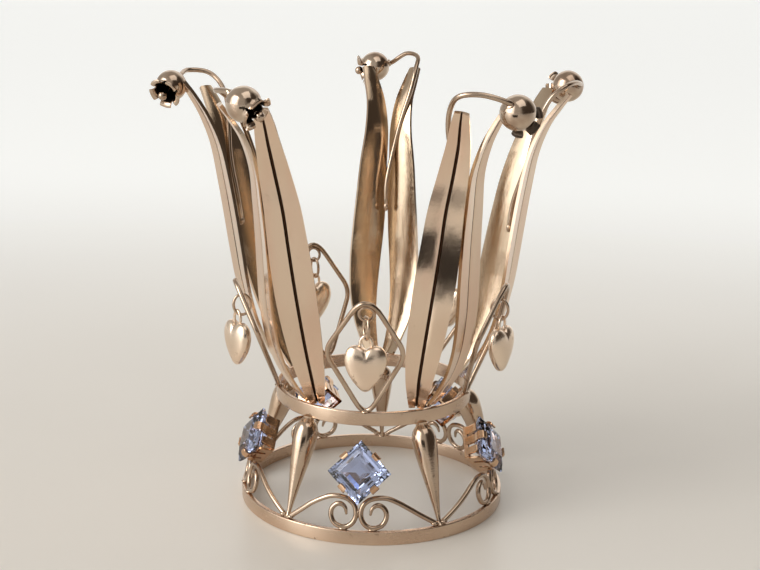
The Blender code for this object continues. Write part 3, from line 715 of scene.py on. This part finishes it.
# Lozenges: one round wire bent to a rhombus with soft corners, leaning out from the upper ring,
# where its lowest corner is soldered. A small ring is soldered under its top to carry the heart.
LOZENGE_AZ = (0.5, 74.5, 145.9, 216.0, 286.9)
APEX_OUT, APEX_Z = (33.4, 33.9, 33.4, 33.4, 35.5), (60.6, 60.2, 60.6, 60.6, 58.9)
APEX_SIDE = (0.4, 0.0, 0.0, 0.0, 0.0)
LOW_OUT, LOW_Z, CORNER_HALF, CORNER_Z = 23.0, 27.5, 9.3, 45.2
CORNER_CUTS = (5.2, 3.2, 7.2, 3.2)
EYE_R, EYE_WIRE, EYE_BELOW_TOP = 1.7, 0.35, 2.45
FOOT_SOLDER_OUT, FOOT_SOLDER_Z, FOOT_SOLDER_R = 23.7, 29.5, 0.75


def bent(corners, cuts, steps=9):
    """Closed path with each corner rounded off over its cut."""
    path = []
    for i, (c, cut) in enumerate(zip(corners, cuts)):
        a = c + (corners[i - 1] - c).normalized() * cut
        b = c + (corners[(i + 1) % len(corners)] - c).normalized() * cut
        for share in (s / steps for s in range(steps + 1)):
            path.append(a.lerp(c, share).lerp(c.lerp(b, share), share))
    return path


def ring_path(place, wide, high, count=36):
    """Oval in the x z plane of a matrix."""
    turns = [2 * math.pi * i / count for i in range(count)]
    return [place @ Vector((wide * math.cos(t), 0, high * math.sin(t))) for t in turns]


def bay(az, out, z):
    """Matrix of a place in a bay: x sideways, y inward, z up."""
    return Matrix.Translation(polar(az, out, 0, z)) @ Matrix.Rotation(math.radians(az), 4, "Z")


EYE_LOW = []
for k, az in enumerate(LOZENGE_AZ):
    lean = (APEX_OUT[k] - LOW_OUT) / (APEX_Z[k] - LOW_Z)
    corner_out = LOW_OUT + lean * (CORNER_Z - LOW_Z)
    corners = [polar(az, LOW_OUT, 0, LOW_Z), polar(az, corner_out, CORNER_HALF, CORNER_Z),
               polar(az, APEX_OUT[k], APEX_SIDE[k], APEX_Z[k]), polar(az, corner_out, -CORNER_HALF, CORNER_Z)]
    path = bent(corners, CORNER_CUTS)
    bm = wire(path, WIRE_R, closed=True)
    eye_z = max(p.z for p in path) - EYE_BELOW_TOP
    place = bay(az, APEX_OUT[k] + lean * (eye_z - APEX_Z[k]), eye_z)
    place = place @ Matrix.Translation((APEX_SIDE[k], 0, 0)) @ Matrix.Rotation(math.atan(lean), 4, "X")
    add(bm, wire(ring_path(place, EYE_R, EYE_R), EYE_WIRE, closed=True))
    solder(bm, polar(az, FOOT_SOLDER_OUT, 0, FOOT_SOLDER_Z), FOOT_SOLDER_R, (1.5, 1.5, 0.6))
    put("lozenge_wire_%d" % (k + 1), bm, wire_gilt, ["lozenge_%d" % (k + 1)])
    EYE_LOW.append(place @ Vector((0, 0, -EYE_R)))

# Links: oval rings of thin wire, each hung in the eye of its lozenge and standing edge on, to
# carry the loop of the heart.
LINK_WIDE, LINK_TALL, LINK_WIRE = 2.04, 2.54, 0.36
LINK_BELOW_EYE = LINK_TALL - EYE_WIRE - LINK_WIRE
LINK_TURN = (20.0, 0.0, 0.0, 0.0, 0.0)
for k, az in enumerate(LOZENGE_AZ):
    middle = Matrix.Translation(EYE_LOW[k] - Vector((0, 0, LINK_BELOW_EYE)))
    place = middle @ Matrix.Rotation(math.radians(az + 90.0 + LINK_TURN[k]), 4, "Z")
    bm = wire(ring_path(place, LINK_WIDE, LINK_TALL), LINK_WIRE, closed=True)
    put("oval_link_%d" % (k + 1), bm, strut_gilt, ["link_%d" % (k + 1)])

# Hearts: two domed halves of thin sheet soldered rim to rim, with a wire loop in the notch, pale
# and satin polished. Each hangs free in its lozenge.
HEART_HALF = ((0.0, 4.45), (0.35, 4.6), (1.0, 5.05), (2.2, 5.32), (3.4, 5.0), (4.35, 4.05), (4.82, 2.5),
              (4.78, 1.2), (4.2, -0.8), (3.2, -2.6), (1.9, -4.25), (0.8, -5.3), (0.0, -5.58))
HEART_DEEP, HEART_CROWN, PUFF = 2.0, 0.4, 0.85
HEART_Z = (42.4, 41.6, 42.4, 42.4, 40.7)
HEART_OUT = (0.0, 0.7, 0.0, 0.0, 1.1)
HEART_SIDE = (0.4, 0.0, 0.0, 0.0, 0.0)
HEART_TURN = (0.0, -14.0, 0.0, 0.0, 26.0)
LOOP_HALF, LOOP_FOOT = 1.35, 3.9
HEART_TONE, HEART_ROSY = (0.93, 0.77, 0.61), (0.92, 0.73, 0.57)


def puffed_heart(count=96):
    """Two domes on a heart outline, shaped from a ball."""
    bm = bmesh.new()
    bmesh.ops.create_uvsphere(bm, u_segments=count, v_segments=30, radius=1.0)
    half = spline([(x, z, 0) for x, z in HEART_HALF], count // 2 + 1)
    outline = half + [Vector((-p.x, p.y, 0)) for p in half[-2:0:-1]]
    for v in bm.verts:
        full = math.hypot(v.co.x, v.co.y) ** PUFF
        deep = HEART_DEEP * math.copysign(abs(v.co.z) ** PUFF, v.co.z)
        p = outline[round(math.atan2(v.co.x, v.co.y) / (2 * math.pi) * count) % count]
        v.co = (p.x * full, deep, p.y * full + HEART_CROWN * (1 - full))
    bmesh.ops.recalc_face_normals(bm, faces=bm.faces[:])
    return bm


heart_gilt = gilt("heart gilt", HEART_TONE, HEART_ROSY, rough=0.24, brush=0.06)
for k, az in enumerate(LOZENGE_AZ):
    place = bay(az, math.hypot(EYE_LOW[k].x, EYE_LOW[k].y) + HEART_OUT[k], HEART_Z[k])
    place = place @ Matrix.Translation((HEART_SIDE[k], 0, 0))
    place = place @ Matrix.Rotation(math.radians(HEART_TURN[k]), 4, "Z")
    bm = puffed_heart()
    bmesh.ops.transform(bm, matrix=place, verts=bm.verts[:])
    drop = LINK_BELOW_EYE + LINK_TALL * math.sqrt(1 - (HEART_OUT[k] / LINK_WIDE) ** 2)
    loop_top = EYE_LOW[k].z - drop + LINK_WIRE + EYE_WIRE - HEART_Z[k]
    loop = place @ Matrix.Translation((0, 0, (loop_top + LOOP_FOOT) / 2))
    add(bm, wire(ring_path(loop, LOOP_HALF, (loop_top - LOOP_FOOT) / 2), EYE_WIRE, closed=True))
    put("puffed_heart_%d" % (k + 1), bm, heart_gilt, ["heart_%d" % (k + 1)])

# Floor and light: a plain pale floor that glows faintly behind the crown as painted light, a soft
# window from the front left and a bright room round about. A dark card in front of the crown is seen
# only in reflections, as the dark patch on one leaf. From here on sizes are in metres.
FLOOR_SIZE = 400.0
FLOOR_TONE, FLOOR_WARM, FLOOR_AWAY = (0.74, 0.70, 0.635), (0.77, 0.73, 0.665), (0.86, 0.86, 0.84)
BLACK, PAINTED_GLOW_BEHIND = (0.0, 0.0, 0.0), (0.21, 0.22, 0.22)
CARD_AT, CARD_SIZE, CARD_TILT = (-0.025, -0.205, 0.052), (0.11, 0.046), -4.3
CARD_TONE, CARD_WORN = (0.012, 0.010, 0.010), (0.025, 0.02, 0.018)


def backdrop(name, place, mat):
    """Square sheet of one metre, stretched and laid by a matrix."""
    bm = bmesh.new()
    bmesh.ops.create_grid(bm, x_segments=1, y_segments=1, size=0.5)
    bmesh.ops.transform(bm, matrix=place, verts=bm.verts[:])
    mesh = bpy.data.meshes.new(name)
    bm.to_mesh(mesh)
    bm.free()
    mesh.materials.append(mat)
    obj = bpy.data.objects.new(name, mesh)
    bpy.context.scene.collection.objects.link(obj)
    return obj


floor_mat, shader, spot = start_material("pale floor", Roughness=0.36, Emission_Strength=1.0)
grain = spot.noise(6.0, 3.0).between(0.3, 0.7).blend(FLOOR_TONE, FLOOR_WARM)
away = spot.node("VectorMath", {0: spot}, out=1, operation="LENGTH").between(0.1, 0.5)
feed(shader, "Base Color", away.blend(grain, FLOOR_AWAY))
# Painted light: the floor glows faintly behind the crown.
behind = spot.node("SeparateXYZ", {0: spot}, out=1).between(0.0, 0.5)
feed(shader, "Emission Color", behind.blend(BLACK, PAINTED_GLOW_BEHIND))
floor = backdrop("floor", Matrix.Diagonal((FLOOR_SIZE, FLOOR_SIZE, 1, 1)), floor_mat)

card_mat, shader, spot = start_material("dark card", Roughness=0.9)
feed(shader, "Base Color", spot.noise(40.0).blend(CARD_TONE, CARD_WORN))
place = Matrix.Translation(CARD_AT) @ Matrix.Rotation(math.radians(CARD_TILT), 4, "Y")
place = place @ Matrix.Diagonal((CARD_SIZE[0], 1, CARD_SIZE[1], 1)) @ Matrix.Rotation(math.pi / 2, 4, "X")
card = backdrop("dark_card", place, card_mat)
card.visible_camera = card.visible_diffuse = card.visible_shadow = False

world = bpy.data.worlds.new("room")
world.use_nodes = True
way = Value(world.node_tree, None).node("TexCoord", out=0)
east, north, up = [way.node("SeparateXYZ", {0: way}, out=i) for i in range(3)]
heading = way.math("ARCTAN2", east, north * -1.0) * math.degrees(1.0)
height = way.math("ARCSINE", up) * math.degrees(1.0)


def panel(left, right, bottom, top, soft):
    """1 on a panel of the room between these headings and heights in degrees, soft at its edges."""
    past_left, past_right = (heading.between(edge - soft, edge + soft) for edge in (left, right))
    above, beyond = (height.between(edge - soft, edge + soft) for edge in (bottom, top))
    return past_left * (1.0 - past_right) * above * (1.0 - beyond)


WALLS, CEILING, DARK_SIDE = (0.50, 0.485, 0.46), (0.42, 0.39, 0.36), (0.07, 0.056, 0.046)
BEHIND_LEFT, BEHIND_RIGHT = (1.05, 1.05, 1.03), (1.0, 1.0, 0.98)
CURTAIN, WINDOW = (2.0, 1.98, 1.95), (5.0, 4.95, 4.85)
room = height.between(20.0, 75.0).blend(WALLS, CEILING)
room = panel(22, 124, -40, 60, 14).blend(room, DARK_SIDE)
room = panel(-260, -148, -40, 48, 8).blend(room, BEHIND_LEFT)
room = panel(142, 260, -40, 48, 8).blend(room, BEHIND_RIGHT)
room = panel(-88, -28, -6, 44, 6).blend(room, CURTAIN)
room = panel(-68, -44, 6, 42, 3).blend(room, WINDOW)
feed(world.node_tree.nodes["Background"], "Color", room)
bpy.context.scene.world = world


def lamp(name, az, rise, far, size, power, tint):
    """Square soft light at an azimuth and a rise in degrees, aimed at the crown."""
    light = bpy.data.lights.new(name, "AREA")
    light.size, light.energy, light.color = size, power, tint
    e = math.radians(rise)
    place = polar(az, math.cos(e), 0, math.sin(e)) * far
    obj = bpy.data.objects.new(name, light)
    obj.matrix_world = aimed(place + Vector((0, 0, 0.05)), place)
    bpy.context.scene.collection.objects.link(obj)


lamp("window", -56, 34, 0.9, 0.4, 1.0, (1.0, 0.97, 0.93))
lamp("fill", 40, 66, 1.1, 0.8, 1.7, (1.0, 0.97, 0.94))
bpy.context.scene.view_settings.view_transform = "Standard"

# Camera: it stands about a third of a metre in front of the crown, a little above it, and looks
# slightly down and to the left, rolled by about a degree, as the photograph was taken.
PHOTO_WIDE, FOCAL_PIXELS, SENSOR = 760.0, 1335.45, 36.0
CAMERA_AT = (0.025818, -0.316182, 0.133097)
CAMERA_HEADING, CAMERA_DOWN, CAMERA_ROLL = 4.4734, 14.0128, 1.2119
camera = bpy.data.cameras.new("camera")
camera.sensor_width, camera.lens = SENSOR, FOCAL_PIXELS * SENSOR / PHOTO_WIDE
camera.clip_start, camera.clip_end = 0.01, 500.0
eye = bpy.data.objects.new("camera", camera)
turn = Matrix.Rotation(math.radians(CAMERA_HEADING), 4, "Z")
turn = turn @ Matrix.Rotation(math.radians(90.0 - CAMERA_DOWN), 4, "X")
turn = turn @ Matrix.Rotation(math.radians(CAMERA_ROLL), 4, "Z")
eye.matrix_world = Matrix.Translation(AXIS + Vector(CAMERA_AT)) @ turn
bpy.context.scene.collection.objects.link(eye)
bpy.context.scene.camera = eye

bpy.context.view_layer.update()
